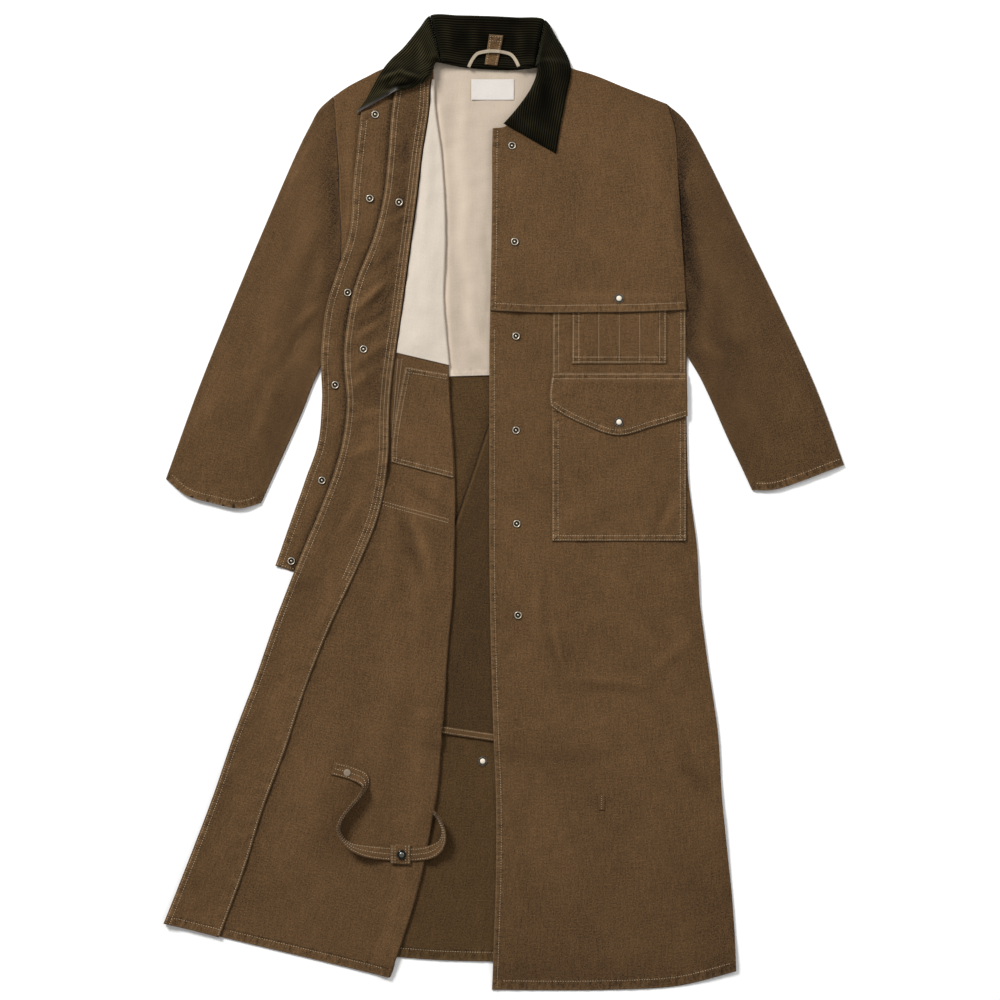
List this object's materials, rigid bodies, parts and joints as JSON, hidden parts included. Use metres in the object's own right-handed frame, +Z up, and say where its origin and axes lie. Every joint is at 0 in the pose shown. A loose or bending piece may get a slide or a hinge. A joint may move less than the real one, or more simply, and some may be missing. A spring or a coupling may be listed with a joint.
{
  "type": "duster coat",
  "caption": "Long canvas duster coat laid open on its back, one front closed and one turned back to show facing and lining, with storm yoke, flapped pocket and corduroy collar.",
  "frame": {"origin": "on the surface the coat lies on, under the middle of its overall length and width", "axes": "+Z up from the surface, +Y from the hem to the collar, +X across the coat towards the wearer's left sleeve"},
  "size_m": [1.02, 1.4627, 0.026],
  "materials": {
    "canvas_outside": "matte heavy cotton canvas, olive brown",
    "canvas_inside": "matte heavy cotton canvas, inside face, olive brown",
    "lining": "smooth pale cotton lining",
    "lining_tape": "woven cotton tape",
    "corduroy": "dark ribbed corduroy with a short pile",
    "label": "blank woven label",
    "snap_metal": "darkened antique brass with bright edges",
    "pearl_cap": "polished pale snap cap"
  },
  "bodies": {
    "root": {"back": "canvas_inside", "back_gusset": "canvas_inside", "back_gusset_band": "canvas_inside", "back_lining": "lining", "back_vent_cap": "pearl_cap", "bartack": "canvas_outside", "collar_back": "corduroy", "collar_left_fall": "corduroy", "collar_right_fall": "corduroy", "collar_tab": "canvas_outside", "facing_snap_1": "snap_metal", "facing_snap_2": "snap_metal", "fly_strip_snap_1": "snap_metal", "fly_strip_snap_2": "snap_metal", "fly_strip_snap_3": "snap_metal", "fly_strip_snap_4": "snap_metal", "fly_strip_snap_5": "snap_metal", "fly_strip_snap_6": "snap_metal", "hanger_loop": "lining_tape", "left_cargo_pocket": "canvas_outside", "left_front": "canvas_outside", "left_front_snap_1": "snap_metal", "left_front_snap_2": "snap_metal", "left_front_snap_3": "snap_metal", "left_front_snap_4": "snap_metal", "left_front_snap_5": "snap_metal", "left_front_snap_6": "snap_metal", "left_pocket_flap": "canvas_outside", "left_pocket_panel": "canvas_outside", "left_shell_pocket": "canvas_outside", "left_storm_yoke": "canvas_outside", "leg_strap": "canvas_outside", "leg_strap_end_snap": "snap_metal", "leg_strap_keeper": "canvas_outside", "leg_strap_keeper_snap": "snap_metal", "neck_label": "label", "pocket_flap_cap": "pearl_cap", "right_facing": "canvas_inside", "right_fly_strip": "canvas_outside", "right_front": "canvas_outside", "right_front_lining": "lining", "right_inside_pocket": "canvas_inside", "sleeve_left_top": "canvas_outside", "sleeve_left_under": "canvas_outside", "sleeve_right_top": "canvas_outside", "sleeve_right_under": "canvas_outside", "yoke_cap": "pearl_cap"}
  },
  "joints": []
}
